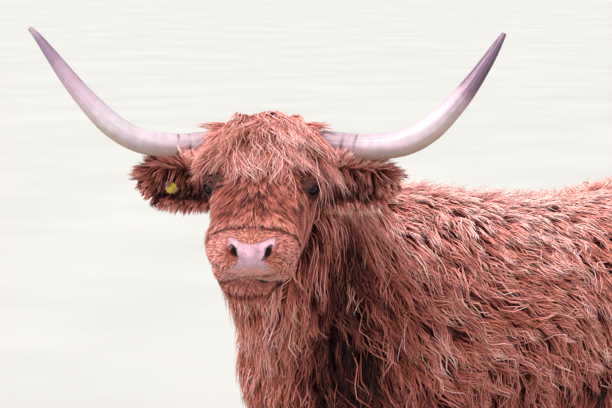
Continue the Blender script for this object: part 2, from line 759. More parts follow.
def placed(obj, look):
    """Moves a finished piece from the cow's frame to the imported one, smooth and with its material."""
    obj.data.transform(Matrix.Translation(-FOOT_CENTRE))
    obj.data.materials.clear()
    obj.data.materials.append(look)
    obj.data.shade_smooth()
    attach(obj, "root")
    return obj


def points_of(obj):
    co = np.empty(len(obj.data.vertices) * 3, np.float32)
    obj.data.vertices.foreach_get("co", co)
    return co.reshape(-1, 3)


def put_attribute(obj, name, values):
    made = obj.data.attributes.new(name, "FLOAT", "POINT")
    made.data.foreach_set("value", np.asarray(values, np.float32))


def tree_of(*objs):
    """The faces of one or more objects, to be searched for the nearest point."""
    verts, faces = [], []
    for obj in objs:
        start = len(verts)
        verts += [v.co.copy() for v in obj.data.vertices]
        faces += [tuple(start + i for i in p.vertices) for p in obj.data.polygons]
    return BVHTree.FromPolygons(verts, faces)


def eye_distances(local):
    return [(local - mirrored(EYE_AT, s)).length for s in (1, -1)]


def tone_at(point):
    """How light the coat is here: the same marking for skin and hair. 0.5 is the middle tone."""
    local = HEAD_BACK @ point
    tone = 0.50 + 0.16 * (noise.noise(point * 3.1) + 0.5 * noise.noise(point * 9.7))
    tone += 0.10 * smoothstep(0.72, 1.02, point.z) - 0.10 * smoothstep(0.62, 0.38, point.z)
    on_head = smoothstep(-0.10, 0.02, local.x) * (1 if abs(local.y) < 0.16 and local.z > -0.30 else 0)
    if on_head:
        muzzle = smoothstep(0.34, 0.42, local.x)
        tone += on_head * (0.20 * muzzle - 0.10 * smoothstep(0.27, 0.33, local.x) * (1 - muzzle))
        for eye in eye_distances(local):
            tone -= 0.16 * (1 - smoothstep(0.026, 0.055, eye))
    return tone


EYE_BACKS = [eye_matrix(side, GAZE_TURN).inverted() for side in SIDES]


def lid_reach(point):
    """How far from the middle of the nearer eye's opening: 1 is the edge of the lids."""
    reach = 9.0
    for back in EYE_BACKS:
        x, y, z = back @ point
        if x > LID_DEPTHS[0]:
            reach = min(reach, math.hypot(y / LID_HALF_LENGTH, (z - LID_LIFT) / LID_HALF_HEIGHT))
    return reach


# How far down the sides of the muzzle the face's long hair has a clear edge
PARTING_BOTTOM = -0.11


def parting_at(point):
    """Where the long hair of the face ends above the nose."""
    return 0.424 + 0.007 * noise.noise(point * 60.0)


def lip_tree():
    """Points along the closed mouth, to be searched for the nearest."""
    count = 200
    tree = KDTree(count)
    for i in range(count):
        tree.insert(Vector(spline(LIP_PATH, i / (count - 1))), i)
    tree.balance()
    return tree


LIP_TREE = lip_tree()


def lip_distance(local):
    return LIP_TREE.find(local)[2]


# Half width of the bare nose pad at each centimetre of drop, from its top to the lip
PAD_TOP, PAD_STEP = 0.026, 0.010
PAD_HALF = ((0.047,), (0.045,), (0.036,), (0.026,), (0.029,), (0.041,), (0.050,), (0.056,), (0.062,))


def pad_mask(local):
    """The bare nose pad: an hourglass between the nostrils, wider again over the lip."""
    if local.x < 0.43:
        return 0.0
    if local.z < LIP_MIDDLE[2] - 0.004 - 6.0 * (local.y + MOUTH_SHIFT) ** 2:
        return 0.0
    drop = -local.z - PAD_TOP
    half = spline(PAD_HALF, drop / PAD_STEP / (len(PAD_HALF) - 1))[0]
    inside = 1 - smoothstep(half - 0.002, half + 0.004, abs(local.y))
    hollow = 0.006 * max(0.0, 1 - (local.y / 0.035) ** 2)
    return inside * smoothstep(hollow - 0.002, hollow + 0.003, drop) * smoothstep(0.440, 0.450, local.x)


# Rounded forms added to each side of the head: place and half sizes
HEAD_FULLNESS = (
    ("cheek", (0.225, 0.070, -0.090), (0.085, 0.020, 0.018)),
    ("lip_side", (0.428, 0.062, -0.101), (0.046, 0.024, 0.024)),
    ("nostril_wing", (0.462, 0.052, -0.052), (0.022, 0.018, 0.024)),
)


def head_skin():
    """The head: skull, jaw, lids and brow in one skin, then eyes, nostrils and mouth cut and creased."""
    pieces = [head_loft("skull", SKULL, 56, 64, 0.86), head_loft("jaw", JAW, 48, 48, 0.80)]
    for side in SIDES:
        pieces.append(ball("lids", EYE_RADIUS + LID_THICKNESS, eye_matrix(side), 40, 24))
        s = side_of(side)
        brow = HEAD @ Matrix.Translation(mirrored(BROW_AT, s)) @ turned(0, 0.25, s * 0.35)
        pieces.append(ball("brow", 1.0, brow, 24, 16, BROW_HALF))
        for name, at, half in HEAD_FULLNESS:
            place = HEAD @ Matrix.Translation(mirrored(Vector(at), s))
            pieces.append(ball(name, 1.0, place, 24, 16, half))
    skin = merged("skin_head", pieces, HEAD_VOXEL, 5)
    for vert in skin.data.vertices:
        local = HEAD_BACK @ vert.co
        chin = smoothstep(0.38, 0.43, local.x) * smoothstep(-0.108, -0.124, local.z)
        local.y -= chin * (0.15 * local.y + MOUTH_SHIFT)
        vert.co = HEAD @ local
    for side in SIDES:
        socket = ball("socket", EYE_RADIUS + 0.0004, eye_matrix(side), 40, 24)
        for hollow in (socket, eyelid_opening(side), nostril(side)):
            cut(skin, hollow)
    cut(skin, lip_line())
    smooth = skin.modifiers.new("soften", "SMOOTH")
    smooth.factor, smooth.iterations = 0.4, 2
    return settle(skin)


def mark_skin(skin):
    """Masks for the materials: tone, nose pad, and the dark of nostrils, lips and lid rims."""
    tone, pad, dark, low = [], [], [], []
    eyes = [eye_matrix(side).translation for side in SIDES]
    holes = [mirrored(NOSTRIL_AT, s) for s in (1, -1)]
    for vert in skin.data.vertices:
        local = HEAD_BACK @ vert.co
        tone.append(tone_at(vert.co))
        low.append(smoothstep(0.062, 0.082, -local.z))
        if local.x < 0.10 or abs(local.y) > 0.13 or local.z < -0.30:
            pad.append(0.0)
            dark.append(0.0)
            continue
        lip = lip_distance(local) if local.x > 0.35 and local.z > -0.16 else 1.0
        pad.append(pad_mask(local))
        eye = min((vert.co - at).length for at in eyes)
        rim = 0.85 * (1 - smoothstep(1.04, 1.24, lid_reach(vert.co))) if eye < 0.035 else 0.0
        parting = 0.8 * bell(local.x - parting_at(vert.co), 0.0068) if local.z > PARTING_BOTTOM else 0.0
        hole = min((local - at - Vector((-0.006, 0, 0))).length for at in holes) if local.x > 0.43 else 1.0
        deep = 1 - smoothstep(0.009, 0.013, hole)
        dark.append(max(rim, parting, 0.95 * deep, 0.97 * (1 - smoothstep(0.0036, 0.0070, lip))))
    for name, values in (("tone", tone), ("pad", pad), ("dark", dark), ("low", low)):
        put_attribute(skin, name, values)


# Coat


# Places along a tuft, and its share of the full width at each but the last, where it is a point
STATIONS = np.array([0.0, 0.18, 0.42, 0.68, 0.88, 1.0])
WIDTHS = np.array([0.62, 1.0, 0.94, 0.66, 0.34])
# The stations that short, middling and long hair keep
SHORT, MIDDLING, LONG = (0, 1, 3, 5), (0, 1, 2, 3, 5), (0, 1, 2, 3, 4, 5)
# The size of a tuft's patch in its unwrap, and the most triangles in a piece of coat
PATCH, PIECE_LIMIT = 0.003, 190_000
# How many tufts each part grows, and how many of them share a clump
BODY_TUFTS, STRAY_TUFTS, HEAD_TUFTS, FORELOCK_TUFTS, STRAND_TUFTS = 40000, 2400, 19000, 1100, 950
POLL_TUFTS, EAR_TUFTS = 2600, 4200
BODY_CLUMP, STRAY_CLUMP, HEAD_CLUMP = 7, 3, 8


def surface_samples(obj, weight, count, rng):
    """Roots scattered over a skin, as many per square metre as weight says: places, normals."""
    mesh = obj.data
    mesh.calc_loop_triangles()
    tri = np.empty(len(mesh.loop_triangles) * 3, np.int32)
    mesh.loop_triangles.foreach_get("vertices", tri)
    tri, co = tri.reshape(-1, 3), points_of(obj).astype(float)
    normals = np.empty(len(mesh.vertices) * 3, np.float32)
    mesh.vertex_normals.foreach_get("vector", normals)
    normals = normals.reshape(-1, 3)
    a, b, c = (co[tri[:, k]] for k in range(3))
    area = np.linalg.norm(np.cross(b - a, c - a), axis=1) / 2
    share = area * np.array([weight(Vector(p)) for p in (a + b + c) / 3])
    chosen = rng.choice(len(tri), count, p=share / share.sum())
    u, v = rng.random(count), rng.random(count)
    over = u + v > 1
    u[over], v[over] = 1 - u[over], 1 - v[over]
    shares = (1 - u - v)[:, None], u[:, None], v[:, None]
    corners = tri[chosen].T
    places, facing = (sum(values[k] * w for k, w in zip(corners, shares)) for values in (co, normals))
    return places, facing / np.linalg.norm(facing, axis=1)[:, None]


def tangent(direction, normal):
    """The part of a direction that lies along a surface."""
    flat = direction - normal * direction.dot(normal)
    return flat.normalized() if flat.length > 1e-4 else DOWN


def body_lie(point, normal):
    """Parted at the spine or crest, then down the side and a little to the rear; hanging under the belly."""
    side = math.copysign(min(1.0, abs(point.y) / 0.10), point.y)
    if point.x > 0.62:
        side = math.copysign(1.0, point.y - 0.9 * (point.x - 0.62))
    ribs = smoothstep(0.66, 0.26, point.x) * (1 - 0.6 * smoothstep(-0.25, -0.45, point.x))
    rear = -0.12 - ribs * (0.14 + 0.70 * smoothstep(1.02, 0.78, point.z) * smoothstep(0.48, 0.62, point.z))
    rear -= 0.7 * (1 - abs(side)) * max(0.0, normal.z)
    way = Vector((rear, 1.3 * side * max(0.0, normal.z), -1.0))
    if normal.z < -0.35 and point.z > 0.36:
        return (tangent(Vector((-0.3, 0, -1)), normal) + DOWN * 1.6).normalized()
    return tangent(way, normal)


def head_lie(point, normal):
    """Fanned out from the poll over the forehead, down the cheeks, back from the nose, off the jaw."""
    local, facing = in_head(point, normal)
    if local.x < -0.020:
        way = Vector((-0.5, 5.0 * local.y, -0.9))
    elif local.x < 0.07 and abs(local.y) > 0.05:
        way = Vector((0.55, 11.0 * local.y, -0.1))
    elif facing.z > 0.15 and local.x < 0.20:
        way = Vector((1.0, 4.2 * local.y, -0.2))
    elif local.x > 0.20 and facing.z > -0.1:
        way = Vector((0.9, 6.5 * local.y, -0.5)) if local.x < 0.43 else Vector((-0.4, 9 * local.y, -0.5))
    else:
        way = Vector((-0.12, 0.0, -1.0))
    for s in (1, -1):
        from_eye = local - Vector((EYE_AT.x, s * EYE_AT.y, EYE_AT.z - 0.002))
        way = way.lerp(from_eye.normalized() * 1.2, smoothstep(0.048, 0.028, from_eye.length))
    way = tangent(HEAD.to_3x3() @ way, normal)
    return way if facing.z > -0.4 else (way + DOWN * 1.3).normalized()


def swirl(point, normal, way, strength):
    """Turns a lie by slow and quick eddies, so that the coat falls in waves."""
    turn = 1.0 * noise.noise(point * 4.3) + 0.8 * noise.noise(point * 11.0 + Vector((7, 3, 1)))
    return Matrix.Rotation(turn * strength, 3, normal) @ way


def clump_path(root, normal, lie, sizes, tree, rng, arch):
    """The middle line of a clump: places and ups at each station, along the coat and off the skin."""
    length, _, lift, wave, _ = sizes(root, normal)
    length *= rng.uniform(0.8, 1.2)
    phase, turns = rng.uniform(0, math.tau), rng.uniform(0.8, 1.5)
    sway = rng.normal(0, 0.16)
    point, ups, places = root.copy(), [], []
    eddy = swirl(root, normal, lie(root, normal), 1.6 * wave)
    base = lie(root, normal)
    veer = base.cross(eddy).dot(normal)
    for i, t in enumerate(STATIONS):
        places.append(point.copy())
        ups.append(normal.copy())
        if i == len(STATIONS) - 1:
            break
        step = (STATIONS[i + 1] - t) * length
        way = lie(point, normal)
        side = normal.cross(way)
        drift = veer * (1 - 0.5 * t) + sway + wave * math.sin(phase + math.tau * turns * t)
        way = (way + side * drift).normalized()
        point = point + way * step
        near, facing, *_ = tree.find_nearest(point)
        if near is None:
            continue
        lift = sizes(near, facing)[2]
        ahead = STATIONS[i + 1]
        level = math.sin(min(1.0, 0.15 + ahead) * math.pi / 2)
        bow = math.sin((0.15 + 0.80 * ahead) * math.pi)
        high = lift * (level + (bow - level) * arch)
        if (point - near).dot(facing) < high:
            point = near + facing * high
        if (point - near).length < 2.0 * lift + 0.01:
            normal = (normal + facing).normalized()
    return places, ups


def clear_of(places, zones):
    """Which tufts stay out of every zone, tested at five places along each of their segments."""
    segments = [places[:, :-1] * (1 - t) + places[:, 1:] * t for t in (0.0, 0.25, 0.5, 0.75, 1.0)]
    along, clear = np.concatenate(segments, axis=1), np.ones(len(places), bool)
    for zone, (long, wide, high) in zones:
        back = np.array(zone.inverted())
        local = along @ back[:3, :3].T + back[:3, 3]
        round_axis = (local[..., 1] / wide) ** 2 + (local[..., 2] / high) ** 2
        inside = (np.abs(local[..., 0] / long) < 1) & (round_axis < 1)
        clear &= ~inside.any(axis=1)
    return clear


def clumped(roots, facing, sizes, lie, tree, rng, per_clump, shade=None, zones=(), arch=0.0):
    """Tufts gathered into clumps: each follows its clump's line and closes in on it towards the tip.

    With an arch the hair rises at once and comes down again; without one it keeps its height to the tip.
    """
    count = len(roots)
    heads = rng.choice(count, max(1, count // per_clump), replace=False)
    index = KDTree(len(heads))
    lines, marks = [], []
    for k, i in enumerate(heads):
        root, normal = Vector(roots[i]), Vector(facing[i])
        index.insert(root, k)
        lines.append(clump_path(root, normal, lie, sizes, tree, rng, arch))
        marks.append(rng.random())
    index.balance()
    steps = len(STATIONS)
    places, ups = np.empty((count, steps, 3)), np.empty((count, steps, 3))
    widths, tone, tuft = np.empty(count), np.empty(count), np.empty(count)
    for n in range(count):
        root, normal = Vector(roots[n]), Vector(facing[n])
        _, k, _ = index.find(root)
        line, line_ups = lines[k]
        length, width, lift, wave, gather = sizes(root, normal)
        offset = root - line[0]
        curl = normal.cross(line[2] - line[0]).normalized() * rng.normal(0, 0.10) * wave * length
        phase, turns = rng.uniform(0, math.tau), rng.uniform(0.7, 1.6) * math.tau
        spread = rng.normal(0, 0.30)
        long = rng.uniform(0.72, 1.12)
        side_drift = normal.cross(line[2] - line[0])
        loose = min(lift, 0.022) * rng.uniform(-0.4, 0.6)
        for i, t in enumerate(STATIONS):
            t_long = t * long
            base = line[i] if long >= 1 else line[0].lerp(line[i], long)
            close = 1 - gather * t**1.3
            point = base + offset * close + side_drift * spread * t_long * 0.5
            point = point + normal * loose * t + curl * t * math.sin(phase + turns * t)
            if i:
                near, out, *_ = tree.find_nearest(point)
                high = (point - near).dot(out)
                least = lift * 0.22 * min(1.0, 2 * t)
                if high < least:
                    point = near + out * least
            places[n, i] = point
            ups[n, i] = line_ups[i]
        widths[n] = width * rng.uniform(0.7, 1.3)
        tone[n] = tone_at(root) + (shade(root, normal) if shade else 0.0)
        tuft[n] = 0.55 * marks[k] + 0.45 * rng.random()
    places[:, 0] -= facing * 0.002
    clear = clear_of(places, zones)
    return places[clear], ups[clear], widths[clear], tone[clear], tuft[clear]


def tuft_meshes(name, tufts, flat, look, kept=LONG):
    """Builds the tufts as closed three-sided blades, in pieces under the limit, each with its unwrap."""
    places = tufts[0]
    order = np.argsort(places[:, 0, 0], kind="stable")
    tuft_triangles = 6 * (len(kept) - 2) + 4
    pieces = max(1, math.ceil(len(order) / (PIECE_LIMIT // tuft_triangles)))
    box = places[:, 0].min(0), places[:, 0].max(0)
    made = []
    for part, chosen in enumerate(np.array_split(order, pieces)):
        label = name if pieces == 1 else f"{name}_{part + 1}"
        made.append(blades(label, *(values[chosen] for values in tufts), flat, box, kept))
        placed(made[-1], look)
    return made


def blades(name, places, ups, widths, tone, tuft, flat, box, kept):
    """One mesh of tufts: three points round each station that is kept, and one at the tip."""
    places, ups = places[:, kept], ups[:, kept]
    count, rings = len(places), len(kept) - 1
    ahead = np.gradient(places, axis=1)
    ahead /= np.maximum(np.linalg.norm(ahead, axis=2, keepdims=True), 1e-9)
    side = np.cross(ahead, ups)
    side /= np.maximum(np.linalg.norm(side, axis=2, keepdims=True), 1e-9)
    up = np.cross(side, ahead)
    half = 0.5 * widths[:, None, None] * WIDTHS[list(kept[:-1])][None, :, None]
    mid = places[:, :rings]
    thick = half * flat
    verts = np.empty((count, rings * 3 + 1, 3))
    verts[:, 0:rings * 3:3] = mid - side[:, :rings] * half - up[:, :rings] * thick * 0.5
    verts[:, 1:rings * 3:3] = mid + side[:, :rings] * half - up[:, :rings] * thick * 0.5
    verts[:, 2:rings * 3:3] = mid + up[:, :rings] * thick
    verts[:, -1] = places[:, -1]
    polygon = [(0, 2, 1)]
    for i in range(rings - 1):
        a, b = 3 * i, 3 * i + 3
        polygon += [(a + p, a + q, b + q, b + p) for p, q in ((0, 1), (1, 2), (2, 0))]
    last, tip = 3 * rings - 3, 3 * rings
    polygon += [(last + p, last + q, tip) for p, q in ((0, 1), (1, 2), (2, 0))]
    loops = np.array([v for face in polygon for v in face])
    sizes = np.array([len(face) for face in polygon])
    all_loops = (loops[None] + np.arange(count)[:, None] * (rings * 3 + 1)).ravel()
    totals = np.tile(sizes, count)
    starts = np.concatenate(([0], np.cumsum(totals)[:-1]))
    mesh = bpy.data.meshes.new(name)
    mesh.vertices.add(count * (rings * 3 + 1))
    mesh.vertices.foreach_set("co", verts.astype(np.float32).ravel())
    mesh.loops.add(len(all_loops))
    mesh.loops.foreach_set("vertex_index", all_loops.astype(np.int32))
    mesh.polygons.add(len(totals))
    mesh.polygons.foreach_set("loop_start", starts.astype(np.int32))
    mesh.update(calc_edges=True)
    obj = bpy.data.objects.new(name, mesh)
    bpy.context.scene.collection.objects.link(obj)
    tips = np.append(np.repeat(STATIONS[list(kept[:-1])], 3), 1.0)
    put_attribute(obj, "tip", np.tile(tips, count))
    put_attribute(obj, "tuft", np.repeat(tuft, rings * 3 + 1))
    put_attribute(obj, "tone", np.repeat(tone, rings * 3 + 1))
    # Each tuft's patch lies at its root's place on a six-sided unwrap of the skin
    across = np.append(np.tile([0.0, 1.0, 0.5], rings), 0.5)
    patch = np.stack([across, tips], axis=1) * PATCH
    corner = unwrap(places[:, 0], ups[:, 0], *box)
    uv = (corner[:, None] + patch[None]).reshape(-1, 2)
    layer = mesh.uv_layers.new(name="OFBake")
    layer.data.foreach_set("uv", uv[all_loops].astype(np.float32).ravel())
    return obj


def unwrap(points, normals, lo, hi):
    """A place on the unit square for each root: the box's six sides laid out three by two."""
    share = (points - lo) / np.maximum(hi - lo, 1e-6)
    axis = np.abs(normals).argmax(1)
    sign = (np.take_along_axis(normals, axis[:, None], 1)[:, 0] > 0).astype(int)
    first = np.where(axis == 0, share[:, 1], share[:, 0])
    second = np.where(axis == 2, share[:, 1], share[:, 2])
    room = 1 - 2 * PATCH * 3
    return np.stack([(axis + first * room + PATCH) / 3, (sign + second * room + PATCH) / 2], axis=1)


def body_sizes(point, normal):
    """Length, width, lift, wave and gathering of the body's hair here."""
    if point.z < 0.44 and (point.x < -0.30 or abs(point.y) > 0.1):
        coat = float(np.interp(point.z, *LEG_COAT))
        return 0.020 + 1.5 * coat, 0.0048, 0.50 * coat, 0.25, 0.55
    if normal.z < -0.35:
        return 0.110, 0.0062, 0.030, 0.45, 0.65
    mane = smoothstep(0.36, 0.52, point.x)
    curls = smoothstep(0.82, 0.66, point.z) * smoothstep(-0.05, 0.10, point.x) * (1 - mane)
    top = smoothstep(0.92, 1.0, point.z)
    length = 0.086 + 0.014 * curls + 0.027 * mane - 0.010 * top * (1 - mane)
    rise = 0.010 * smoothstep(-0.30, -0.10, point.x) + 0.017 * bell(point.x, 0.13) - 0.004
    lift = 0.033 + 0.010 * curls + 0.005 * mane + top * rise
    wave = 0.52 + 0.45 * curls - 0.12 * mane - 0.16 * top
    return length, 0.0040, lift, wave, 0.74


def stray_sizes(point, normal):
    """Long loose hairs that lie across the coat and curl."""
    length, _, lift, wave, _ = body_sizes(point, normal)
    return 1.25 * length, 0.0030, lift + 0.005, 1.35 * wave, 0.90


def stray_lie(point, normal):
    turn = 1.5 * noise.noise(point * 5.0 + Vector((3, 9, 5)))
    return Matrix.Rotation(turn, 3, normal) @ body_lie(point, normal)


def stray_shade(point, normal):
    return 0.18 + 0.6 * shade_at(point, normal)


def head_cover(local):
    """How high the hair stands off the head: a thick crest that thins over the forehead."""
    crest = 0.045 + 0.006 * smoothstep(-0.010, -0.060, local.y)
    return 0.0045 + crest * smoothstep(0.090, -0.005, local.x)


def head_sizes(point, normal):
    """Length, width, lift, wave and gathering of the head's hair: long at the poll, short on the face."""
    local, facing = in_head(point, normal)
    muzzle = smoothstep(0.405, 0.435, local.x)
    if local.z < -0.120 and abs(local.y) < 0.075 + 0.03 * (1 - muzzle):
        ahead = smoothstep(0.10, 0.36, local.x)
        length = 0.080 - 0.050 * ahead
        if local.x > 0.39:
            length = 0.024 if facing.z < -0.5 else 0.012
        return length, 0.0040 - 0.0022 * ahead, 0.012 - 0.010 * ahead, 0.20 - 0.14 * ahead, 0.5
    short = smoothstep(0.02, 0.16, local.x)
    by_lips = max(0.003, 0.9 * (lip_distance(local) - 0.004)) if local.x > 0.36 and local.z > -0.15 else 1.0
    if pad_mask(local) > 0.3:
        return min(by_lips, 0.006), 0.0014, 0.0008, 0.05, 0.2
    cropped = 0.40 * smoothstep(-0.045, -0.080, local.y) * (1 - short)
    length = min(by_lips, 0.100 - 0.050 * short - 0.041 * muzzle) * (1 - cropped)
    before = parting_at(point) - local.x
    if before > 0 and facing.z > -0.4:
        length = min(length, 0.004 + 1.0 * before)
    for eye in eye_distances(local):
        length = min(length, 0.007 + 0.9 * max(0.0, eye - 0.024))
    lift = head_cover(local) - 0.0030 * muzzle
    width = 0.0032 - 0.0017 * short
    return length, width, min(lift, 0.55 * length), 0.34 - 0.16 * short - 0.14 * muzzle, 0.66 - 0.45 * muzzle


def head_weight(point):
    """Where the head bears hair: not on the nose pad, lips, lids and horn bases; densest on the face."""
    local = HEAD_BACK @ point
    if (pad_mask(local) > 0.3 and local.z > -0.076) or (local.x > 0.35 and lip_distance(local) < 0.0085):
        return 0.0
    if local.z > PARTING_BOTTOM and abs(local.x - parting_at(point)) < 0.0055:
        return 0.0
    if min(eye_distances(local)) < 0.035 and lid_reach(point) < 1.2:
        return 0.0
    if min((local - mirrored(NOSTRIL_AT, s)).length for s in (1, -1)) < 0.016:
        return 0.0
    return 0.9 + 1.4 * smoothstep(0.10, 0.25, local.x) + 2.2 * smoothstep(0.42, 0.44, local.x)


def forelock(tree, rng, count):
    """Roots of the strands that fan from the poll over the forehead."""
    roots, facing = [], []
    while len(roots) < count:
        x, y = rng.uniform(-0.030, 0.055), rng.normal(0.012, 0.046)
        if not -0.058 < y < 0.095:
            continue
        hit, normal, *_ = tree.ray_cast(HEAD @ Vector((x, y, 0.20)), HEAD.to_3x3() @ DOWN)
        if hit is not None:
            roots.append(hit)
            facing.append(normal)
    return np.array(roots), np.array(facing)


def forelock_sizes(point, normal):
    """The thick part of the forelock, uneven in length."""
    length, cover = 0.120 + 0.06 * noise.noise(point * 45.0), head_cover(HEAD_BACK @ point)
    return length, 0.0028, cover + 0.003, 0.32, 0.84


def strand_sizes(point, normal):
    """The long thin strands that hang as far as the eyes."""
    length, cover = 0.225 + 0.09 * noise.noise(point * 61.0), head_cover(HEAD_BACK @ point)
    return length, 0.0027, cover + 0.007, 0.40, 0.93


def forelock_lie(point, normal):
    """Forward over the forehead, fanning out more to the left, and uneven."""
    local = HEAD_BACK @ point
    fan = (2.0 if local.y > 0 else 0.6) * local.y + 0.08 + 0.16 * noise.noise(point * 23.0)
    return tangent(HEAD.to_3x3() @ Vector((1.0, fan, -0.25)), normal)


def forelock_shade(point, normal):
    return 0.15


def poll_sizes(point, normal):
    return 0.080, 0.0032, 0.014, 0.35, 0.6


def ear_shape_of(side):
    """The lie, sizes and shade of one ear's hair: outward round its rim, hanging and dark in its cup."""
    axes = ear_frame(side)
    back = axes.inverted()
    out, up, face = (Vector(axis) for axis in axes.to_3x3().transposed())

    def rim(point):
        local = back @ point
        return max(smoothstep(0.024, 0.040, abs(local.y)), smoothstep(0.140, 0.172, local.x)), local

    def lie(point, normal):
        edge, local = rim(point)
        radial = out * max(0.15, (local.x - 0.075) * 9) + up * local.y * 16
        hang = out * 0.35 + face * 0.25 + DOWN
        droop = 1.1 - 0.75 * edge * (local.y > 0)
        return (radial.normalized() * edge * 1.1 + hang.normalized() * droop).normalized()

    def sizes(point, normal):
        edge, local = rim(point)
        short = 0.018 * edge * (local.y < 0.010) + 0.012 * smoothstep(0.13, 0.17, local.x)
        return 0.046 - short, 0.0026, 0.006, 0.34, 0.60

    def shade(point, normal):
        edge, local = rim(point)
        inside = (1 - edge) * (1 if normal.dot(face) > 0 else 0)
        return -0.56 * inside + 0.12 * edge

    return lie, sizes, shade


def tail_sizes(point, normal):
    low = smoothstep(0.70, 0.45, point.z)
    return 0.060 + 0.12 * low, 0.006, 0.012 + 0.014 * low, 0.25, 0.4


def tail_lie(point, normal):
    return (DOWN + normal * 0.2).normalized()


# The pieces


def eye_zones(strands=False):
    """Room in front of the eyes that no hair crosses; the forelock's strands keep clear of more of it."""
    ahead = turned(0, -0.12, 0) @ Matrix.Translation((0.036, 0, 0))
    zones = [(eye_matrix(side, GAZE_TURN) @ ahead, (0.026, 0.0185, 0.0115)) for side in SIDES]
    for s in (1, -1) if strands else ():
        at = HEAD @ Matrix.Translation(mirrored(EYE_AT, s)) @ turned(0, -0.6, 0)
        zones.append((at @ Matrix.Translation((0.060, 0, 0)), (0.050, 0.023, 0.014)))
    return zones


def coat_region(x, y, z):
    """The piece of coat that a root on the body belongs to."""
    if x < -0.735 and abs(y) < 0.06:
        return "coat_tail"
    if z < 0.47:
        return "coat_legs"
    if x > 0.45:
        return "coat_neck"
    return "coat_left" if y > 0 else "coat_right"


def make_body(look_skin, look_hair, head_tree):
    rng = np.random.default_rng(SEED)
    forms = [trunk_form(64, 60), neck_form(56, 30), tail_form(24, 40)]
    forms += [leg_form(which, 36, 48) for which in LEGS]
    skin = merged("skin_body", forms, BODY_VOXEL, 6)
    tree = tree_of(skin)

    def weight(p):
        if p.z < HOOF_HEIGHT + 0.012:
            return 0.0
        if p.x > 0.65:
            near, facing, *_ = head_tree.find_nearest(p)
            if (p - near).dot(facing) < 0.002:
                return 0.0
        if coat_region(*p) == "coat_tail":
            return 1.3
        near_side = 1.0 if p.y > -0.08 or p.x > 0.55 else 0.60
        return near_side * (1.25 if p.z < 0.45 else 1.0) * (1.25 if p.x > 0.45 else 1.0)

    def stray_weight(p):
        return weight(p) * (p.z > 0.5)

    roots, facing = surface_samples(skin, weight, BODY_TUFTS, rng)
    groups = {"coat_neck": [], "coat_left": [], "coat_right": [], "coat_legs": [], "coat_tail": []}
    for n, root in enumerate(roots):
        groups[coat_region(*root)].append(n)
    strays, outward = surface_samples(skin, stray_weight, STRAY_TUFTS, rng)
    tufts = clumped(strays, outward, stray_sizes, stray_lie, tree, rng, STRAY_CLUMP, stray_shade)
    made = tuft_meshes("coat_strays", tufts, 0.5, look_hair)
    for name, members in groups.items():
        sizes, lie = (tail_sizes, tail_lie) if name == "coat_tail" else (body_sizes, body_lie)
        tufts = clumped(roots[members], facing[members], sizes, lie, tree, rng, BODY_CLUMP, shade_at)
        made += tuft_meshes(name, tufts, 0.42, look_hair, SHORT if name == "coat_legs" else MIDDLING)
    mark_skin(skin)
    return placed(skin, look_skin), made


def shade_at(point, normal):
    """Darker hair on the side of the neck, the shoulder and behind the elbow; lighter on back and ribs."""
    neck = bell(math.hypot(point.x - 0.642, point.y - 0.188), 0.092) * smoothstep(1.13, 1.03, point.z)
    shoulder = spot(point, (0.560, 0.23, 0.82), 0.16)
    behind_ear = smoothstep(0.44, 0.54, point.x) * smoothstep(0.02, 0.10, point.y)
    behind_ear *= smoothstep(0.86, 0.98, point.z)
    shade = -0.78 * neck - 0.20 * shoulder - 0.10 * behind_ear
    for place in ((-0.08, 0.27, 0.54), (0.45, 0.25, 0.62)):
        shade -= 0.26 * spot(point, place, 0.085)
    ribs = smoothstep(0.50, 0.40, point.x) * smoothstep(0.60, 0.72, point.z)
    return shade + 0.24 * max(0.0, normal.z) * smoothstep(0.93, 1.00, point.z) + 0.04 + 0.10 * ribs


def horn_root_hair(skin, horns, rng):
    """Roots round the horns' bases, and a lie that carries the hair out along the horn."""
    back = horn_frame().inverted()
    turn = horn_frame().to_3x3()

    def weight(p):
        local = back @ p
        reach = math.hypot(local.x, local.z)
        return 1.0 if 0.020 < reach < 0.062 and 0.045 < abs(local.y) < 0.13 and local.z > -0.045 else 0.0

    def lie(point, normal):
        local = back @ point
        away = Vector((local.x + 0.010, 0, local.z)) * 5
        return (turn @ (Vector((0.30, math.copysign(1.0, local.y), -0.30)) + away)).normalized()

    roots, facing = surface_samples(skin, weight, POLL_TUFTS, rng)
    return roots, facing, lie, tree_of(skin, *horns)


def head_shade(point, normal):
    """Darker under the jaw, in the parting above the nose and behind the cheek; lighter on the muzzle."""
    local, facing = in_head(point, normal)
    shade = 0.06 * smoothstep(0.43, 0.445, local.x) - 0.12 * smoothstep(0.16, 0.08, local.x)
    if facing.z < -0.6 or local.z < -0.14:
        shade -= 0.30 * smoothstep(0.44, 0.38, local.x) + 0.26
    if local.x > 0.40 and local.z < -0.114:
        shade -= 0.16
    if facing.z > -0.3:
        shade -= 0.40 * bell(local.x - parting_at(point), 0.009)
    for s in (1, -1):
        shade -= 0.55 * spot(local, (0.080, s * 0.122, -0.100), 0.036)
        shade -= 0.10 * spot(local, (0.330, s * 0.090, -0.060), 0.050)
    return shade


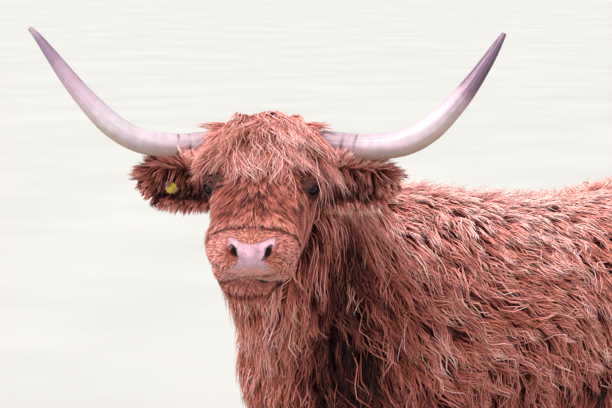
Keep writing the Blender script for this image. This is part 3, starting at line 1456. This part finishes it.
def make_head(look_skin, look_hair, horns):
    rng = np.random.default_rng(SEED + 1)
    skin = head_skin()
    tree, zones = tree_of(skin), eye_zones()
    roots, facing = surface_samples(skin, head_weight, HEAD_TUFTS, rng)
    tufts = clumped(roots, facing, head_sizes, head_lie, tree, rng, HEAD_CLUMP, head_shade, zones)
    # The clumps of the muzzle differ less in shade
    even = np.array([0.65 * smoothstep(0.415, 0.440, (HEAD_BACK @ Vector(p)).x) for p in tufts[0][:, 0]])
    tufts = (*tufts[:4], tufts[4] * (1 - even) + 0.55 * even)
    made = tuft_meshes("coat_head", tufts, 0.45, look_hair, SHORT)
    more_zones = eye_zones(True)
    for name, count, sizes in (
        ("coat_forelock", FORELOCK_TUFTS, forelock_sizes),
        ("coat_strands", STRAND_TUFTS, strand_sizes),
    ):
        roots, facing = forelock(tree, rng, count)
        shape = sizes, forelock_lie, tree, rng, HEAD_CLUMP, forelock_shade, more_zones, 0.25
        made += tuft_meshes(name, clumped(roots, facing, *shape), 0.5, look_hair)
    roots, facing, lie, both = horn_root_hair(skin, horns, rng)
    tufts = clumped(roots, facing, poll_sizes, lie, both, rng, HEAD_CLUMP, None, zones)
    made += tuft_meshes("coat_poll", tufts, 0.5, look_hair)
    mark_skin(skin)
    return placed(skin, look_skin), made, tree


def make_ear(side, look_skin, look_hair):
    rng = np.random.default_rng(SEED + 2 + (side == "left"))
    skin = ear_form(side, 24, 36)
    tree = tree_of(skin)
    back = ear_frame(side).inverted()
    zones = ()
    if side == TAG_SIDE:
        at = ear_frame(side) @ Matrix.Translation((*TAG_AT, TAG_FRONT + 0.012))
        zones = [(at, (TAG_RADIUS * 0.24, TAG_RADIUS * 0.50, 0.02))]

    def weight(p):
        local = back @ p
        if side == TAG_SIDE and math.hypot(local.x - TAG_AT[0], local.y - TAG_AT[1]) < TAG_RADIUS * 1.15:
            return 0.0
        return 0.7 + 1.2 * smoothstep(0.02, 0.045, abs(local.y)) + 0.9 * smoothstep(0.12, 0.18, local.x)

    roots, facing = surface_samples(skin, weight, EAR_TUFTS, rng)
    lie, sizes, shade = ear_shape_of(side)
    tufts = clumped(roots, facing, sizes, lie, tree, rng, HEAD_CLUMP, shade, zones)
    made = tuft_meshes("coat_ear_" + side, tufts, 0.5, look_hair, SHORT)
    mark_skin(skin)
    return placed(skin, look_skin), made


def make_horn(side):
    """A horn in the cow's frame, with what its material reads at each point."""
    around, along = 48, 260
    horn = horn_form(side, around, along)
    count = len(horn.data.vertices)
    place, under, fibre, streak, ring = (np.zeros(count) for _ in range(5))
    for i in range(along + 1):
        for k in range(around):
            n, turn, t = i * around + k, math.tau * k / around, i / along
            place[n] = t
            uneven = 0.6 + 0.4 * math.sin(turn * 3 + t * 50)
            ring[n] = groove(side, t + 0.002 * math.sin(2 * turn)) * uneven
            below = math.sin(turn) * side_of(side)
            under[n] = max(0.0, below) * (1 - smoothstep(0.4, 0.75, t))
            fibre[n] = 0.5 + 0.5 * math.sin(turn * 11 + 2.5 * math.sin(t * 9 + turn * 2))
            edge = below if side == "left" else math.cos(turn + 2.6)
            streak[n] = smoothstep(0.25, 0.95, edge) * smoothstep(0.58, 0.74, t) * STREAK[side]
    place[(along + 1) * around:] = 1.0
    names = "along", "under", "fibre", "streak", "ring"
    for name, values in zip(names, (place, under, fibre, streak, ring)):
        put_attribute(horn, name, values)
    return horn


def make_eye(side, look):
    at = eye_matrix(side, EYEBALL_TURN)
    eye = ball("eyeball_" + side, EYE_RADIUS - 0.0003, at, 48, 32)
    back = at.inverted()
    values = []
    for vert in eye.data.vertices:
        local = back @ vert.co
        values.append(math.hypot(local.y / 1.25, local.z) / IRIS_RADIUS if local.x > 0 else 1.0)
    put_attribute(eye, "iris", np.minimum(values, 1.0))
    return placed(eye, look)


def make_claw(which, place, look):
    """One claw: flat under, its wall sloping forward to the toe, with growth lines."""
    x, y, *_ = leg_rows(which)[-1]
    s = -1 if place == "inner" else 1
    centre_y = y + math.copysign(CLAW_HALF_WIDTH + CLEFT / 2, y) * s
    # Each row: height, shares of the length and the width, and how far ahead the section lies
    rows = (
        (0.0, 0.985, 0.985, 0.020), (0.0015, 1.0, 1.0, 0.020), (0.03, 0.93, 0.97, 0.012),
        (HOOF_HEIGHT, 0.78, 0.88, 0.0),
    )
    rings = []
    for i in range(25):
        height, long, wide, lean = spline(rows, i / 24)
        ripple = 1 + 0.006 * math.sin(height * 900) * smoothstep(0.004, 0.02, height)
        ring = []
        for c, side in oval(40, 0.85):
            toe = 1 - 0.35 * max(0.0, c) ** 2
            ahead, across = c * CLAW_HALF_LENGTH * long, side * CLAW_HALF_WIDTH * wide * toe
            ring.append((x + lean + ahead * ripple, centre_y + across * ripple, max(0.0, height)))
        rings.append(ring)
    return placed(loft(f"hoof_{which}_{place}", rings), look)


def make_tag(look):
    """Two buttons on a pin, with rounded edges and a raised ring."""
    # Each pair: distance from the pin's axis, and height over the ear
    profile = (
        (0.0002, TAG_FRONT + 0.0012), (0.004, TAG_FRONT + 0.0034), (0.0045, TAG_FRONT + 0.0022),
        (0.0105, TAG_FRONT + 0.0022), (0.0125, TAG_FRONT + TAG_THICKNESS), (TAG_RADIUS, TAG_FRONT + 0.0018),
        (TAG_RADIUS, TAG_FRONT + 0.0006), (0.0122, TAG_FRONT), (TAG_PIN, TAG_FRONT), (TAG_PIN, TAG_BACK),
        (0.0122, TAG_BACK), (TAG_RADIUS, TAG_BACK - 0.0008), (TAG_RADIUS, TAG_BACK - 0.0020),
        (0.0124, TAG_BACK - TAG_THICKNESS), (0.0002, TAG_BACK - TAG_THICKNESS),
    )
    at = ear_frame(TAG_SIDE) @ Matrix.Translation((*TAG_AT, 0))
    rings = [[at @ Vector((r * c, r * s, z)) for c, s in oval(48, 1.0)] for r, z in profile]
    return placed(loft("tag_buttons", rings), look)


# Stage, light and camera


def make_stage():
    bm = bmesh.new()
    bmesh.ops.create_grid(bm, x_segments=1, y_segments=1, size=90)
    floor = object_from("floor", bm)
    look = Look("floor", roughness=0.9, specular_ior_level=0.1)
    tint = look.noise(0.8, 2.0)
    look.colour(look.ramp(tint, (0.3, rgb(180, 180, 177)), (0.7, rgb(188, 188, 185))))
    floor.data.materials.append(look.material)


def sun(name, toward, strength, width, colour):
    """A far, broad lamp that shines from a direction, so that the whole floor is evenly lit."""
    light = bpy.data.lights.new(name, "SUN")
    light.energy, light.angle, light.color = strength, math.radians(width), colour
    obj = bpy.data.objects.new(name, light)
    bpy.context.scene.collection.objects.link(obj)
    obj.rotation_euler = Vector(toward).to_track_quat("Z", "Y").to_euler()


def make_light():
    world = bpy.data.worlds.new("studio")
    bpy.context.scene.world = world
    world.use_nodes = True
    background = world.node_tree.nodes["Background"]
    background.inputs["Color"].default_value = (0.93, 0.93, 0.94, 1)
    background.inputs["Strength"].default_value = 0.55
    sun("key", (0.85, -0.16, 1.0), 4.6, 18, (1.0, 0.97, 0.94))
    sun("fill", (0.05, 0.9, 0.9), 1.3, 50, (1.0, 0.98, 0.97))
    bpy.context.scene.view_settings.view_transform = "Standard"
    bpy.context.scene.view_settings.look = "None"


CAMERA_AT = Vector((3.9568, 4.0001, 1.6527))
CAMERA_AZIMUTH, CAMERA_PITCH = math.radians(50), math.radians(6.566)
# The focal length and the width of the picture in its own points, and the sensor's width in millimetres
FOCAL_POINTS, PICTURE_POINTS, SENSOR_WIDTH = 2250, 612, 36


def make_camera():
    """The photograph's view: 50 degrees round to the cow's left, five metres from the poll."""
    azimuth, pitch = CAMERA_AZIMUTH, CAMERA_PITCH
    right = Vector((-math.sin(azimuth), math.cos(azimuth), 0))
    level = math.cos(pitch)
    ahead = Vector((-math.cos(azimuth) * level, -math.sin(azimuth) * level, -math.sin(pitch)))
    data = bpy.data.cameras.new("camera")
    data.lens, data.sensor_width = FOCAL_POINTS / PICTURE_POINTS * SENSOR_WIDTH, SENSOR_WIDTH
    data.clip_end = 500
    camera = bpy.data.objects.new("camera", data)
    matrix = Matrix((right, right.cross(ahead), -ahead)).transposed().to_4x4()
    matrix.translation = CAMERA_AT - FOOT_CENTRE
    camera.matrix_world = matrix
    bpy.context.scene.collection.objects.link(camera)
    bpy.context.scene.camera = camera


make_camera()
hair, skin_fine = hair_look(), skin_look("skin_fine", 240.0)
skin_coarse = skin_look("skin_coarse", 160.0)
horns = {side: make_horn(side) for side in SIDES}
head, head_coat, head_tree = make_head(skin_fine, hair, horns.values())
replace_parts(head, "head")
body, body_coat = make_body(skin_coarse, hair, head_tree)
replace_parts(body, "torso", "neck", "tail", *("leg_" + which for which in LEGS))
hoof, eye, tag = hoof_look(), eye_look(), tag_look()
for side in SIDES:
    ear, ear_coat = make_ear(side, skin_fine, hair)
    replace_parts(ear, "ear_" + side)
    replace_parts(placed(horns[side], horn_look(side)), "horn_" + side)
    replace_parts(make_eye(side, eye), "eye_" + side)
    for piece in (ear, *ear_coat):
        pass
for which in LEGS:
    for place in ("inner", "outer"):
        piece = make_claw(which, place, hoof)
        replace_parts(piece, f"claw_{which}_{place}")
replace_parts(make_tag(tag), "ear_tag")
for piece in (body, head, *body_coat, *head_coat):
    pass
make_stage()
make_light()
